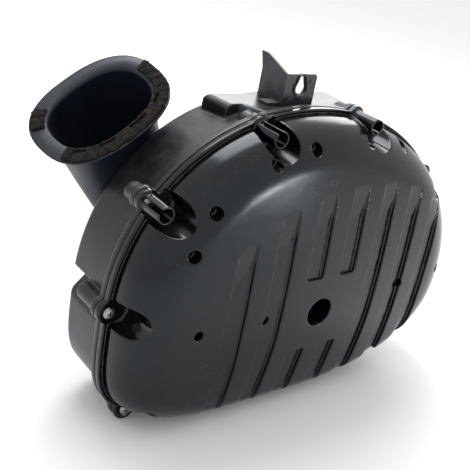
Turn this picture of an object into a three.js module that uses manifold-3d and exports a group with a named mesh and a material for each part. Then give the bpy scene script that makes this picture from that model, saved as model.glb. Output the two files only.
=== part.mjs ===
// Air filter housing of a cruiser motorcycle: domed cover, boxy casing, oval intake duct.
// Millimetres, +Z up. The cover faces -Y. Until the last step the two flanges meet on the plane y = 0.
import * as THREE from 'three';
import { mergeVertices } from 'three/addons/utils/BufferGeometryUtils.js';
import Module from 'manifold-3d';

const wasm = await Module();
wasm.setup();

// ---- Driving dimensions ----
// Flange outline: four superellipse quarters round one pole.
const POLE_Z = 93.5;
const HALF_LEFT = 160;
const HALF_RIGHT = 189;
const HEIGHT_ABOVE = 151.5;
const EXPONENT = { upperLeft: 2.15, upperRight: 1.97, lowerLeft: 4.5, lowerRight: 2.38 };
const AROUND = 40;
const GAP = 0.3;

// Cover. Scales are fractions of the flange outline.
const COVER_FLANGE = 4;
const COVER_LIP = 5.5;
const LIP_SCALE = 0.986;
const DOME_FOOT = 0.975;
const SHOULDER_START = 0.78;
const SHOULDER_HEIGHT = 33;
const SHOULDER_POWER = 2.3;
const CROWN_HEIGHT = 13;
const CROWN_POWER = 1.6;
const WALL = 3;
const WALL_SCALE = 0.98;
const LAND_INNER = 0.885;

// Upright grooves of the cover face.
const GROOVE_COUNT = 7;
const GROOVE_PITCH = 34.4;
const GROOVE_WIDTH = 16;
const GROOVE_DEPTH = 3.2;
const GROOVE_FIRST_X = -74.4;
const GROOVE_TOP = { z: 196, x: 38, reach: 115, drop: 38, power: 2.6, ramp: 26 };
const GROOVE_LOW_RAMP = 10;
const GROOVE_BACK = -8;
const GROOVE_BREAK = { low: 60, high: 124 };
const BROKEN_GROOVES = [2, 3];

// Sockets for the outer trim, as [x, z, radius, depth].
const SOCKETS = [
  [7, 93.5, 12, 30],
  [-102.8, 184.6, 4.7, 8],
  [-116.9, 155.4, 4.7, 8],
  [-56.4, 216.2, 4.7, 8],
  [-21.7, 225, 4.7, 8],
  [37.8, 226.8, 4.7, 8],
  [84.3, 219, 4.7, 8],
  [-104.1, 92, 3.7, 7],
  [-45.6, 94, 3.7, 7],
  [103.7, 99, 3.7, 7],
  [162.6, 101, 3.7, 7],
];
const SOCKET_WALL = 2;

// Cover screws: M5 pan heads. Towers carry the first three.
const TOWERS = [[-137.6, 183.2], [-50.7, 231], [44, 236.5]];
const PLAIN_SCREWS = [[147, 181], [-157, 100.8], [-131, 10.5], [182, 101], [110, 14.5]];
const SCREW_RADIUS = 2.5;
const SCREW_HOLE = 2.8;
const HEAD_RADIUS = 4.75;
const HEAD_PROFILE = [[0, 0], [4.75, 0], [4.75, 1.6], [3.75, 2.8], [2.4, 3.4], [0, 3.4]];
const HEAD_HEIGHT = 3.4;
const RECESS = { depth: 1.8, reach: 2.6, half: 0.5 };
const SCREW_REACH = 12;
const TOWER_RADIUS = 6.6;
const TOWER_BORE = 5.1;
const TOWER_MOUTH = -28;
const TOWER_SLOT = 3.4;

// Clearances through the shoulder in front of the screws, as [x, z, radius], and how much each widens forwards.
const SCALLOPS = [
  [-129.4, 180.2, 13],
  [-48.8, 230.2, 12.5],
  [53, 235.5, 15.5],
  [144, 178.5, 10.5],
  [-152, 100.8, 11],
  [-129, 14, 10],
  [178.5, 101, 10],
  [108.5, 17.5, 10],
];
const SCALLOP_FLARE = 2.5;
const IN_FRONT = -60;
const EAR_RADIUS = 9;

// Casing.
const CASING_FLANGE = 6.3;
const SHELL_DEPTH = 58;
const REAR = { x0: -44, x1: 105, z0: 45, z1: 172, y: 108, round: 14 };
const SHELF = { z0: 170, z1: 240.5, round: 5 };
const SHELF_PLAN = [[-66, 50], [-63, 23], [-52, 23], [-42, 4], [60, 4], [62, 50]];
const NOTCH = [[-180, 107.5], [-140, 107.5], [-140, 99], [-153, 85.5], [-157, 76], [-180, 76]];
const RIBS = [[-72, -66], [66, 72]];
const RIB_DEPTH = 48;
const RIB_TOP = 12;
const INSERT_RADIUS = 3.9;
const BOSS_RADIUS = 7;
const BOSS_END = 17;
const SIDE_BOSS_END = 30;
const SIDE_BOSS = 4;
const GASKET = { inner: 0.899, outer: 0.915, front: 0.6, depth: 3.2, play: 0.003 };

// Intake duct: an oval mouth whose plane leans left and forward.
const MOUTH = { x: -136.5, y: 75, z: 222.7, leanLeft: 41.3, leanFront: 21.1, twist: 12.7 };
const MOUTH_LONG = 52.5;
const MOUTH_SHORT = 41.8;
const MOUTH_POWER = 2.5;
const MOUTH_RIM = 13.3;
const NECK_INSET = 10.7;
const DUCT_WALL = 2.6;
const DUCT_LENGTH = 95;
const DUCT_BASE = { x: -95, y: 50, z: 138, long: 0.7, short: 0.74 };
const DUCT_ELBOW = { x: -104, y: 92, z: 168 };
const DUCT_STEPS = [-DUCT_LENGTH, -80, -66, -52, -38, -24, -12, -5];
const DUCT_TAIL = 12;
const FOAM = { from: -158, to: 10, thickness: 3.4, scrapFrom: 128, scrapTo: 158, outer: 1.2, inner: 11.3 };

// Top bracket: a tab with a keyhole, a fin behind its left edge, and a foot plate on the shelf.
const SHEET = 2;
const TAB = { x0: -19, x1: 12, y: 15, z1: 265 };
const KEYHOLE = { x: -3.2, z: 254.5, radius: 4.8, neck: 2.6, rise: 6.5 };
const FIN = [[44, 262], [48, 274], [40, 274]];
const FOOT_BACK = 44;
const FOOT_WING = { reach: 12, y0: 17, y1: 27 };
const BRACKET_SCREWS = [[-11, 34], [5, 34]];
const BRACKET_SCREW_LENGTH = 9;

// Filter element, seated on the casing's rear wall.
const ELEMENT = { x0: -26, x1: 92, z0: 50, z1: 146, front: 22, wall: 4 };
const ELEMENT_ROUND = 6;
const ELEMENT_BACK = SHELL_DEPTH - WALL - GAP;
const SEAL = { thickness: 3, width: 7 };
const LUG = { radius: 8, thickness: 5, out: 6, up: 14 };
const LEDGE = { width: 4, thickness: 2 };
const WINDOW_INSET = 12;
const PLEATS = 14;
const PAPER = 1.2;
const SCREEN = { upright: 5, level: 3, half: 0.8, thickness: 1.9 };
const ELEMENT_SCREW_END = 53.5;

// Rear fittings.
const OUTLET = { x: 34, z: 98, inner: 21, outer: 24, end: 126 };
const DRAIN = { x: 27, y: 82, radius: 5, end: 30 };
const REAR_EARS = [[-24, 32], [84, 32]];
const REAR_EAR = { y: 92, thickness: 5, half: 13, round: 5, hole: 8 };
const BOOT = { start: 110, end: 148, wall: 4, bead: 6, beadLength: 3 };
const CLAMP = { y0: 116, width: 9, band: 1.2, lugHalf: 7, lugHeight: 7 };
const CLAMP_BOLT = { radius: 2.4, head: 13, tail: 10 };
const CAP = { wall: 2, below: 6, above: 12 };
const GROMMET = { waist: 8, flange: 11, bore: 5, lip: 3.5 };
const COLLAR = { inner: 3.2, out: 5 };

// ---- Solids ----
function solid(geometry) {
  const bare = geometry.index ? geometry.toNonIndexed() : geometry.clone();
  bare.deleteAttribute('normal');
  bare.deleteAttribute('uv');
  const merged = mergeVertices(bare, 1e-3);
  const corners = merged.index.array;
  const kept = [];
  for (let i = 0; i < corners.length; i += 3) {
    const [a, b, c] = corners.slice(i, i + 3);
    if (a !== b && b !== c && c !== a) kept.push(a, b, c);
  }
  const vertProperties = merged.attributes.position.array;
  return new wasm.Manifold(new wasm.Mesh({ numProp: 3, vertProperties, triVerts: new Uint32Array(kept) }));
}

function joined(parts) {
  return parts.reduce((sum, part) => sum.add(part));
}

function box(x0, x1, y0, y1, z0, z1) {
  const shape = new THREE.BoxGeometry(x1 - x0, y1 - y0, z1 - z0);
  shape.translate((x0 + x1) / 2, (y0 + y1) / 2, (z0 + z1) / 2);
  return solid(shape);
}

// A straight or tapered round bar between two points.
function bar(from, to, radiusFrom, radiusTo = radiusFrom, sides = 14) {
  const start = new THREE.Vector3(...from);
  const along = new THREE.Vector3(...to).sub(start);
  const shape = new THREE.CylinderGeometry(radiusTo, radiusFrom, along.length(), sides);
  shape.translate(0, along.length() / 2, 0);
  const turn = new THREE.Quaternion().setFromUnitVectors(new THREE.Vector3(0, 1, 0), along.normalize());
  shape.applyQuaternion(turn);
  shape.translate(start.x, start.y, start.z);
  return solid(shape);
}

// A bar along Y at one place of the cover plane.
function post([x, z], y0, y1, radius, sides = 14) {
  return bar([x, y0, z], [x, y1, z], radius, radius, sides);
}

function tube([x, z], y0, y1, inner, outer, sides = 24) {
  return post([x, z], y0, y1, outer, sides).subtract(post([x, z], y0 - 1, y1 + 1, inner, sides));
}

// A box with rounded upright edges, drawn in XZ and extruded along Y.
function roundedBlock(x0, x1, z0, z1, y0, y1, radius) {
  const shape = new THREE.Shape();
  shape.moveTo(x0 + radius, z0);
  shape.absarc(x1 - radius, z0 + radius, radius, -Math.PI / 2, 0, false);
  shape.absarc(x1 - radius, z1 - radius, radius, 0, Math.PI / 2, false);
  shape.absarc(x0 + radius, z1 - radius, radius, Math.PI / 2, Math.PI, false);
  shape.absarc(x0 + radius, z0 + radius, radius, Math.PI, Math.PI * 1.5, false);
  const block = new THREE.ExtrudeGeometry(shape, { depth: y1 - y0, bevelEnabled: false, curveSegments: 5 });
  block.rotateX(Math.PI / 2);
  block.translate(0, y1, 0);
  return solid(block);
}

function signedPower(value, power) {
  return Math.sign(value) * Math.abs(value) ** power;
}

// ---- The flange outline ----
function quarter(right, up) {
  const exponent = up
    ? (right ? EXPONENT.upperRight : EXPONENT.upperLeft)
    : (right ? EXPONENT.lowerRight : EXPONENT.lowerLeft);
  return { half: right ? HALF_RIGHT : HALF_LEFT, height: up ? HEIGHT_ABOVE : POLE_Z, exponent };
}

// The place at one angle and one scale of the outline.
function outlinePoint(cosine, sine, scale) {
  const { half, height, exponent } = quarter(cosine >= 0, sine >= 0);
  const x = scale * half * signedPower(cosine, 2 / exponent);
  const z = POLE_Z + scale * height * signedPower(sine, 2 / exponent);
  return [x, z];
}

// The scale of the outline that passes through one place.
function scaleAt(x, z) {
  const { half, height, exponent } = quarter(x >= 0, z >= POLE_Z);
  return ((Math.abs(x) / half) ** exponent + (Math.abs(z - POLE_Z) / height) ** exponent) ** (1 / exponent);
}

// A lathe whose rings are scaled outlines; the profile holds [scale, y].
function outlineLathe(profile, sink = () => 0) {
  const shape = new THREE.LatheGeometry(profile.map(([r, y]) => new THREE.Vector2(r, y)), AROUND);
  const place = shape.attributes.position;
  for (let i = 0; i < place.count; i += 1) {
    const scale = Math.hypot(place.getX(i), place.getZ(i));
    const angle = Math.atan2(place.getZ(i), place.getX(i));
    const [x, z] = outlinePoint(Math.cos(angle), Math.sin(angle), scale);
    place.setXYZ(i, x, place.getY(i) + sink(x, z), z);
  }
  return solid(shape);
}

// ---- Cover ----
function domeHeight(scale) {
  const inside = Math.min(scale / DOME_FOOT, 1);
  const edge = Math.max((inside - SHOULDER_START) / (1 - SHOULDER_START), 0);
  const shoulder = SHOULDER_HEIGHT * Math.max(1 - edge ** SHOULDER_POWER, 0) ** (1 / SHOULDER_POWER);
  return COVER_FLANGE + shoulder + CROWN_HEIGHT * (1 - inside ** CROWN_POWER);
}

function domeY(x, z) {
  return -domeHeight(scaleAt(x, z));
}

// The dome from its centre to its foot.
function domeProfile() {
  const crown = [0, 0.2, 0.4, 0.55, 0.7, SHOULDER_START].map((s) => s * DOME_FOOT);
  const steps = 7;
  const shoulder = Array.from({ length: steps }, (_, i) => {
    const edge = Math.sin(((i + 1) / steps) * (Math.PI / 2)) ** (2 / SHOULDER_POWER);
    return DOME_FOOT * (SHOULDER_START + (1 - SHOULDER_START) * edge);
  });
  return [...crown, ...shoulder].map((scale) => [scale, -domeHeight(scale)]);
}

function coverBlank() {
  return outlineLathe([
    ...domeProfile(),
    [LIP_SCALE, -COVER_FLANGE],
    [LIP_SCALE, -COVER_LIP],
    [1, -COVER_LIP],
    [1, 0],
    [0, 0],
  ]);
}

// The room inside the cover, bounded by the inner land that presses on the gasket.
function coverRoom() {
  const wall = domeProfile()
    .map(([scale, y]) => [scale * WALL_SCALE, y + WALL])
    .filter(([, y]) => y < -WALL - 1);
  return outlineLathe([...wall, [DOME_FOOT * WALL_SCALE, -WALL], [LAND_INNER, -WALL], [LAND_INNER, 1], [0, 1]]);
}

function grooveTop(x) {
  const away = Math.abs(x - GROOVE_TOP.x) / GROOVE_TOP.reach;
  return GROOVE_TOP.z - GROOVE_TOP.drop * away ** GROOVE_TOP.power;
}

// Channels cut in the face; the floor rises to the face at the upper end of each.
function grooves(extra) {
  const low = -10;
  const strips = [];
  for (let i = 0; i < GROOVE_COUNT; i += 1) {
    const x = GROOVE_FIRST_X + i * GROOVE_PITCH;
    const half = GROOVE_WIDTH / 2 + extra;
    const spans = BROKEN_GROOVES.includes(i)
      ? [[low, GROOVE_BREAK.low + extra], [GROOVE_BREAK.high - extra, grooveTop(x) + extra]]
      : [[low, grooveTop(x) + extra]];
    for (const [z0, z1] of spans) strips.push(box(x - half, x + half, IN_FRONT, GROOVE_BACK, z0, z1));
  }
  const floor = outlineLathe([...domeProfile(), [DOME_FOOT, 20], [0, 20]], (x, z) => {
    const upper = THREE.MathUtils.clamp((grooveTop(x) - z) / GROOVE_TOP.ramp, 0, 1);
    const lower = THREE.MathUtils.clamp((z - GROOVE_LOW_RAMP) / GROOVE_LOW_RAMP, 0, 1);
    return GROOVE_DEPTH * upper * lower + extra;
  });
  return joined(strips).subtract(floor);
}

// A widening bore that clears the shoulder in front of one screw and stops flat on the flange.
function scallop([x, z, radius], extra) {
  const floor = -COVER_FLANGE + extra;
  return bar([x, floor, z], [x, IN_FRONT, z], radius + extra, radius + SCALLOP_FLARE + extra, 18);
}

function scallops(extra) {
  return joined(SCALLOPS.map((spot) => scallop(spot, extra)));
}

// A tower stands on the flange and opens outwards through a slot.
function tower(at) {
  return post(at, -1, TOWER_MOUTH, TOWER_RADIUS, 16);
}

function towerHollow([x, z]) {
  const outward = Math.atan2(z - POLE_Z, x);
  const slot = new THREE.BoxGeometry(TOWER_RADIUS * 1.6, 40, TOWER_SLOT);
  slot.translate(TOWER_RADIUS * 0.8, TOWER_MOUTH + 3, 0);
  slot.rotateY(-outward);
  slot.translate(x, 0, z);
  const deep = post([x, z], -COVER_FLANGE, TOWER_MOUTH - 4, TOWER_BORE);
  return deep.add(solid(slot).subtract(box(x - 20, x + 20, -COVER_LIP, 40, z - 20, z + 20)));
}

function socketCut([x, z, radius, depth]) {
  const face = domeY(x, z);
  return post([x, z], face - 12, face + depth, radius, 12);
}

function socketBoss([x, z, radius, depth]) {
  const face = domeY(x, z);
  return post([x, z], face - 2, face + depth + SOCKET_WALL, radius + SOCKET_WALL, 10);
}

function ears(y0, y1) {
  return joined([...TOWERS, ...PLAIN_SCREWS].map((at) => post(at, y0, y1, EAR_RADIUS, 16)));
}

function cover() {
  const outside = coverBlank()
    .add(ears(0, -COVER_LIP))
    .subtract(scallops(0))
    .subtract(grooves(0))
    .add(joined(TOWERS.map(tower)));
  const room = coverRoom()
    .subtract(scallops(WALL))
    .subtract(grooves(WALL))
    .subtract(joined(SOCKETS.map(socketBoss)))
    .subtract(joined(TOWERS.map((at) => post(at, 2, TOWER_MOUTH - 2, TOWER_RADIUS + 1))));
  const screwHoles = [...TOWERS, ...PLAIN_SCREWS].map((at) => post(at, 2, -12, SCREW_HOLE));
  return outside
    .subtract(room)
    .subtract(joined(TOWERS.map(towerHollow)))
    .subtract(joined(SOCKETS.map(socketCut)))
    .subtract(joined(screwHoles));
}

// ---- Screws and inserts ----
// A pan-head screw along Y whose head sits on the plane y = seat.
function panScrew([x, z], seat, end) {
  const head = new THREE.LatheGeometry(HEAD_PROFILE.map(([r, y]) => new THREE.Vector2(r, y)), 12);
  head.rotateX(Math.PI);
  head.translate(x, seat, z);
  const { depth, reach, half } = RECESS;
  const front = seat - HEAD_HEIGHT;
  const recess = [
    box(x - reach, x + reach, front - 1, front + depth, z - half, z + half),
    box(x - half, x + half, front - 1, front + depth, z - reach, z + reach),
  ];
  return solid(head).subtract(joined(recess)).add(post([x, z], seat - 0.5, end, SCREW_RADIUS, 10));
}

function insert(at) {
  return tube(at, 1, SCREW_REACH + 2, SCREW_RADIUS + GAP, INSERT_RADIUS, 12);
}

// ---- Casing ----
function casingShell() {
  return outlineLathe([
    [0, SHELL_DEPTH],
    [0.935, SHELL_DEPTH],
    [0.955, SHELL_DEPTH - 1.5],
    [0.964, SHELL_DEPTH - 5],
    [0.966, CASING_FLANGE],
    [1, CASING_FLANGE],
    [1, GAP],
    [0, GAP],
  ].reverse());
}

function mainRoom() {
  return outlineLathe([
    [0, SHELL_DEPTH - WALL],
    [0.915, SHELL_DEPTH - WALL],
    [0.935, SHELL_DEPTH - WALL - 3],
    [0.938, CASING_FLANGE + 1],
    [LAND_INNER, CASING_FLANGE],
    [LAND_INNER, -1],
    [0, -1],
  ].reverse());
}

function gasketRing(inner, outer, y0, y1) {
  return outlineLathe([[outer, y0], [outer, y1], [inner, y1], [inner, y0], [outer, y0]]);
}

// Mouth frame: long axis, mouth normal, and the third axis of a right-handed set.
function mouthMatrix() {
  const lean = (degrees) => Math.sin(THREE.MathUtils.degToRad(degrees));
  const normal = new THREE.Vector3(-lean(MOUTH.leanLeft), -lean(MOUTH.leanFront), 1).normalize();
  const long = new THREE.Vector3(1, 0, 0).addScaledVector(normal, -normal.x).normalize();
  long.applyAxisAngle(normal, THREE.MathUtils.degToRad(MOUTH.twist));
  const third = new THREE.Vector3().crossVectors(long, normal);
  return new THREE.Matrix4().makeBasis(long, normal, third).setPosition(MOUTH.x, MOUTH.y, MOUTH.z);
}

// An oval lathe in the mouth frame; the profile holds [inset from the mouth's outer edge, height].
function ovalLathe(profile) {
  const points = profile.map(([inset, height]) => new THREE.Vector2(MOUTH_SHORT - inset, height));
  const shape = new THREE.LatheGeometry(points, 40);
  const place = shape.attributes.position;
  for (let i = 0; i < place.count; i += 1) {
    const radius = Math.hypot(place.getX(i), place.getZ(i));
    const angle = Math.atan2(place.getZ(i), place.getX(i));
    const long = radius > 0 ? radius + MOUTH_LONG - MOUTH_SHORT : 0;
    place.setX(i, long * signedPower(Math.cos(angle), 2 / MOUTH_POWER));
    place.setZ(i, radius * signedPower(Math.sin(angle), 2 / MOUTH_POWER));
  }
  for (let i = 0; i < place.count; i += 1) bendPoint(place, i);
  return solid(shape);
}

// Height above the mouth plane stays straight; below it the rings turn to face the rear wall of the casing.
function bendPoint(place, i) {
  const mouth = mouthMatrix();
  const depth = THREE.MathUtils.clamp(-place.getY(i) / DUCT_LENGTH, 0, 1);
  const start = new THREE.Vector3().setFromMatrixPosition(mouth);
  const base = new THREE.Vector3(DUCT_BASE.x, DUCT_BASE.y, DUCT_BASE.z);
  const elbow = new THREE.Vector3(DUCT_ELBOW.x, DUCT_ELBOW.y, DUCT_ELBOW.z);
  const centre = new THREE.QuadraticBezierCurve3(start, elbow, base).getPoint(depth);
  const turned = new THREE.Quaternion().setFromRotationMatrix(mouth);
  turned.slerp(new THREE.Quaternion(), depth);
  const spread = new THREE.Vector3(
    place.getX(i) * THREE.MathUtils.lerp(1, DUCT_BASE.long, depth),
    Math.max(place.getY(i), 0) + Math.min(place.getY(i) + DUCT_LENGTH, 0),
    place.getZ(i) * THREE.MathUtils.lerp(1, DUCT_BASE.short, depth),
  );
  const out = spread.applyQuaternion(turned).add(centre);
  place.setXYZ(i, out.x, out.y, out.z);
}

function ductSide(height, inset) {
  return [NECK_INSET + inset, height];
}

// The room that the duct takes up in the casing.
function ductBody(grow) {
  return ovalLathe([
    [MOUTH_SHORT, -DUCT_LENGTH - DUCT_TAIL],
    ductSide(-DUCT_LENGTH - DUCT_TAIL, -grow),
    ...DUCT_STEPS.map((height) => ductSide(height, -grow)),
    [MOUTH_SHORT, 0],
  ]);
}

function duct() {
  const outside = DUCT_STEPS.map((height) => ductSide(height, 0));
  const inside = DUCT_STEPS.slice(0, -1).map((height) => ductSide(height, DUCT_WALL)).reverse();
  return ovalLathe([
    ...outside,
    [0.6, -3.6],
    [0, -3],
    [0, 0],
    [MOUTH_RIM - 0.8, 0],
    [MOUTH_RIM, -0.8],
    ...inside,
    outside[0],
  ]);
}

// A length of the mouth's foam ring between two angles of the mouth frame.
function foamPiece(from, to, thickness) {
  const { outer, inner } = FOAM;
  const ring = ovalLathe([[outer, GAP], [outer, thickness], [inner, thickness], [inner, GAP], [outer, GAP]]);
  const reach = 2 * MOUTH_LONG;
  const [start, end] = [from, to].map(THREE.MathUtils.degToRad);
  const sector = new THREE.Shape();
  sector.moveTo(0, 0);
  sector.lineTo(reach * Math.cos(start), reach * Math.sin(start));
  sector.absarc(0, 0, reach, start, end, false);
  const wedge = new THREE.ExtrudeGeometry(sector, { depth: 20, bevelEnabled: false, curveSegments: 20 });
  wedge.translate(0, 0, -10);
  wedge.rotateX(-Math.PI / 2);
  return ring.intersect(solid(wedge.applyMatrix4(mouthMatrix())));
}

function rearEar([x, z]) {
  const { y, thickness, half, round, hole } = REAR_EAR;
  const plate = roundedBlock(x - half, x + half, z - half, REAR.z0 + 8, y, y + thickness, round);
  return plate.subtract(post([x, z], y - 1, y + thickness + 1, hole + GAP));
}

// A solid with one outline in XZ, between two planes of y.
function prism(outline, y0, y1) {
  const shape = new THREE.Shape(outline.map(([x, z]) => new THREE.Vector2(x, z)));
  const block = new THREE.ExtrudeGeometry(shape, { depth: y1 - y0, bevelEnabled: false });
  block.rotateX(Math.PI / 2);
  block.translate(0, y1, 0);
  return solid(block);
}

// The raised flat under the bracket: a plan outline with a bevelled top edge.
function shelf() {
  const { z0, z1, round } = SHELF;
  const shape = new THREE.Shape(SHELF_PLAN.map(([x, y]) => new THREE.Vector2(x, y)));
  const block = new THREE.ExtrudeGeometry(shape, {
    depth: z1 - z0 - 2 * round,
    bevelThickness: round,
    bevelSize: round,
    bevelOffset: -round,
    bevelSegments: 3,
  });
  block.translate(0, 0, z0 + round);
  return solid(block);
}

function casing() {
  const screws = [...TOWERS, ...PLAIN_SCREWS];
  const outlet = [OUTLET.x, OUTLET.z];
  const outside = casingShell()
    .add(shelf())
    .subtract(prism(NOTCH, CASING_FLANGE, SHELL_DEPTH + 1))
    .add(ears(GAP, CASING_FLANGE))
    .add(joined(screws.map((at, i) => post(at, 5, i === SIDE_BOSS ? SIDE_BOSS_END : BOSS_END, BOSS_RADIUS))))
    .add(roundedBlock(REAR.x0, REAR.x1, REAR.z0, REAR.z1, 40, REAR.y, REAR.round))
    .add(joined(RIBS.map(([x0, x1]) => box(x0, x1, 3, RIB_DEPTH, 0, RIB_TOP))))
    .add(post(outlet, REAR.y - 2, OUTLET.end, OUTLET.outer, 32))
    .add(bar([DRAIN.x, DRAIN.y, REAR.z0 + 1], [DRAIN.x, DRAIN.y, DRAIN.end], DRAIN.radius));
  const inset = WINDOW_INSET;
  const rooms = [
    mainRoom().subtract(prism(NOTCH.map(([x, z]) => [x + WALL, z]), CASING_FLANGE, SHELL_DEPTH + 1)),
    box(REAR.x0 + WALL, REAR.x1 - WALL, SHELL_DEPTH, REAR.y - WALL, REAR.z0 + WALL, REAR.z1 - WALL),
    box(ELEMENT.x0 + inset, ELEMENT.x1 - inset, 40, 70, ELEMENT.z0 + inset, ELEMENT.z1 - inset),
    post(outlet, 90, OUTLET.end + 1, OUTLET.inner, 32),
    bar([DRAIN.x, DRAIN.y, REAR.z0 + 8], [DRAIN.x, DRAIN.y, DRAIN.end - 1], DRAIN.radius - 2),
    gasketRing(GASKET.inner - GASKET.play, GASKET.outer + GASKET.play, 0, GASKET.depth + GAP),
    ductBody(GAP),
    ...screws.map((at) => post(at, 0, BOSS_END - 2, INSERT_RADIUS + GAP)),
    ...BRACKET_SCREWS.map(bracketScrewHole),
    ...elementScrewSpots().map((at) => post(at, 50, SHELL_DEPTH - 1, SCREW_HOLE)),
  ];
  return rooms
    .reduce((left, room) => left.subtract(room), outside)
    .add(joined(REAR_EARS.map(rearEar)));
}

// ---- Top bracket ----
function bracketScrewHole([x, y]) {
  return bar([x, y, SHELF.z1 - BRACKET_SCREW_LENGTH], [x, y, SHELF.z1 + BRACKET_SCREW_LENGTH], SCREW_HOLE);
}

function keyhole() {
  const { x, z, radius, neck, rise } = KEYHOLE;
  const front = TAB.y - 1;
  const back = TAB.y + SHEET + 1;
  return post([x, z], front, back, radius)
    .add(post([x, z + rise], front, back, neck))
    .add(box(x - neck, x + neck, front, back, z, z + rise));
}

// The upright web behind the tab, drawn in YZ.
function bracketFin(seat) {
  const outline = [[TAB.y, seat], [FOOT_BACK, seat], ...FIN, [TAB.y, TAB.z1]];
  const shape = new THREE.Shape(outline.map(([y, z]) => new THREE.Vector2(y, z)));
  const web = new THREE.ExtrudeGeometry(shape, { depth: SHEET, bevelEnabled: false });
  web.rotateY(Math.PI / 2);
  web.rotateX(Math.PI / 2);
  web.translate(TAB.x0, 0, 0);
  return solid(web);
}

function topBracket() {
  const seat = SHELF.z1 + GAP;
  const { x0, x1, y, z1 } = TAB;
  const { reach, y0, y1 } = FOOT_WING;
  return box(x0, x1, y, y + SHEET, seat, z1)
    .subtract(keyhole())
    .add(bracketFin(seat))
    .add(box(x0, x1, y, FOOT_BACK, seat, seat + SHEET))
    .add(box(x0 - reach, x0 + 1, y0, y1, seat, seat + SHEET))
    .subtract(joined(BRACKET_SCREWS.map(bracketScrewHole)));
}

function bracketScrew([x, y]) {
  const seat = SHELF.z1 + GAP + SHEET + GAP;
  const shank = bar([x, y, seat - BRACKET_SCREW_LENGTH], [x, y, seat + 1], SCREW_RADIUS);
  return shank.add(bar([x, y, seat], [x, y, seat + HEAD_HEIGHT], HEAD_RADIUS));
}

// ---- Filter element ----
function elementScrewSpots() {
  const { x0, x1, z0, z1 } = ELEMENT;
  const { out, up } = LUG;
  return [[x0 - out, z0 + up], [x0 - out, z1 - up], [x1 + out, z0 + up], [x1 + out, z1 - up]];
}

function frameBack() {
  return ELEMENT_BACK - SEAL.thickness - GAP;
}

function filterFrame() {
  const { x0, x1, z0, z1, front, wall } = ELEMENT;
  const back = frameBack();
  const ledge = (low, high) => (
    box(x0 + wall - 1, x1 - wall + 1, back - LEDGE.thickness, back, low, high)
  );
  const lugs = elementScrewSpots().map((at) => post(at, back - LUG.thickness, back, LUG.radius));
  return roundedBlock(x0, x1, z0, z1, front, back, ELEMENT_ROUND)
    .add(joined(lugs))
    .subtract(box(x0 + wall, x1 - wall, front - 1, back + 1, z0 + wall, z1 - wall))
    .add(ledge(z0 + wall - 1, z0 + wall + LEDGE.width))
    .add(ledge(z1 - wall - LEDGE.width, z1 - wall + 1))
    .subtract(joined(elementScrewSpots().map((at) => post(at, back - LUG.radius, back + 2, SCREW_HOLE))));
}

// Zigzag paper, drawn in XY and extruded up.
function filterMedia() {
  const { x0, x1, z0, z1, front, wall } = ELEMENT;
  const back = frameBack() - LEDGE.thickness - GAP;
  const left = x0 + wall + GAP;
  const step = (x1 - wall - GAP - left) / (2 * PLEATS);
  const crest = (i, offset) => [left + i * step, (i % 2 ? back - PAPER : front + 1) + offset];
  const count = 2 * PLEATS + 1;
  const lower = Array.from({ length: count }, (_, i) => crest(i, 0));
  const upper = Array.from({ length: count }, (_, i) => crest(count - 1 - i, PAPER));
  const shape = new THREE.Shape([...lower, ...upper].map(([x, y]) => new THREE.Vector2(x, y)));
  const paper = new THREE.ExtrudeGeometry(shape, { depth: z1 - z0 - 2 * (wall + GAP), bevelEnabled: false });
  paper.translate(0, 0, z0 + wall + GAP);
  return solid(paper);
}

function filterSeal() {
  const { x0, x1, z0, z1 } = ELEMENT;
  const { thickness, width } = SEAL;
  const y0 = ELEMENT_BACK - thickness;
  const window = [x0 + width, x1 - width, z0 + width, z1 - width];
  return roundedBlock(x0, x1, z0, z1, y0, ELEMENT_BACK, ELEMENT_ROUND)
    .subtract(roundedBlock(...window, y0 - 1, ELEMENT_BACK + 1, ELEMENT_ROUND - 2));
}

function filterScreen() {
  const { x0, x1, z0, z1, front, wall } = ELEMENT;
  const { upright, level, half, thickness } = SCREEN;
  const y1 = front - GAP;
  const y0 = y1 - thickness;
  const bars = [roundedBlock(x0, x1, z0, z1, y0, y1, ELEMENT_ROUND)
    .subtract(box(x0 + wall, x1 - wall, y0 - 1, y1 + 1, z0 + wall, z1 - wall))];
  for (let i = 1; i <= upright; i += 1) {
    const x = THREE.MathUtils.lerp(x0, x1, i / (upright + 1));
    bars.push(box(x - half, x + half, y0, y1, z0 + 1, z1 - 1));
  }
  for (let i = 1; i <= level; i += 1) {
    const z = THREE.MathUtils.lerp(z0, z1, i / (level + 1));
    bars.push(box(x0 + 1, x1 - 1, y0, y1, z - half, z + half));
  }
  return joined(bars);
}

// ---- Rear fittings ----
function outletBoot() {
  const at = [OUTLET.x, OUTLET.z];
  const { start, end, wall, bead, beadLength } = BOOT;
  const inner = OUTLET.outer + GAP;
  return tube(at, start, end, inner, inner + wall, 32)
    .add(tube(at, start, start + beadLength, inner, inner + bead, 32))
    .add(tube(at, end - beadLength, end, inner, inner + bead, 32));
}

// A band with a lug on top and a bolt across the lug.
function bootClamp() {
  const { x, z } = OUTLET;
  const { y0, width, band, lugHalf, lugHeight } = CLAMP;
  const { radius, head, tail } = CLAMP_BOLT;
  const inner = OUTLET.outer + BOOT.wall + 2 * GAP;
  const top = z + inner;
  const middleY = y0 + width / 2;
  const middleZ = top + lugHeight / 2 + 0.5;
  return tube([x, z], y0, y0 + width, inner, inner + band, 32)
    .add(box(x - lugHalf, x + lugHalf, y0, y0 + width, top + band / 2, top + lugHeight))
    .add(bar([x - head, middleY, middleZ], [x + tail, middleY, middleZ], radius));
}

function drainCap() {
  const { x, y, radius, end } = DRAIN;
  const inner = radius + GAP;
  return bar([x, y, end - CAP.below], [x, y, end + CAP.above], inner + CAP.wall)
    .subtract(bar([x, y, end - GAP], [x, y, end + CAP.above + 1], inner));
}

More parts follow.
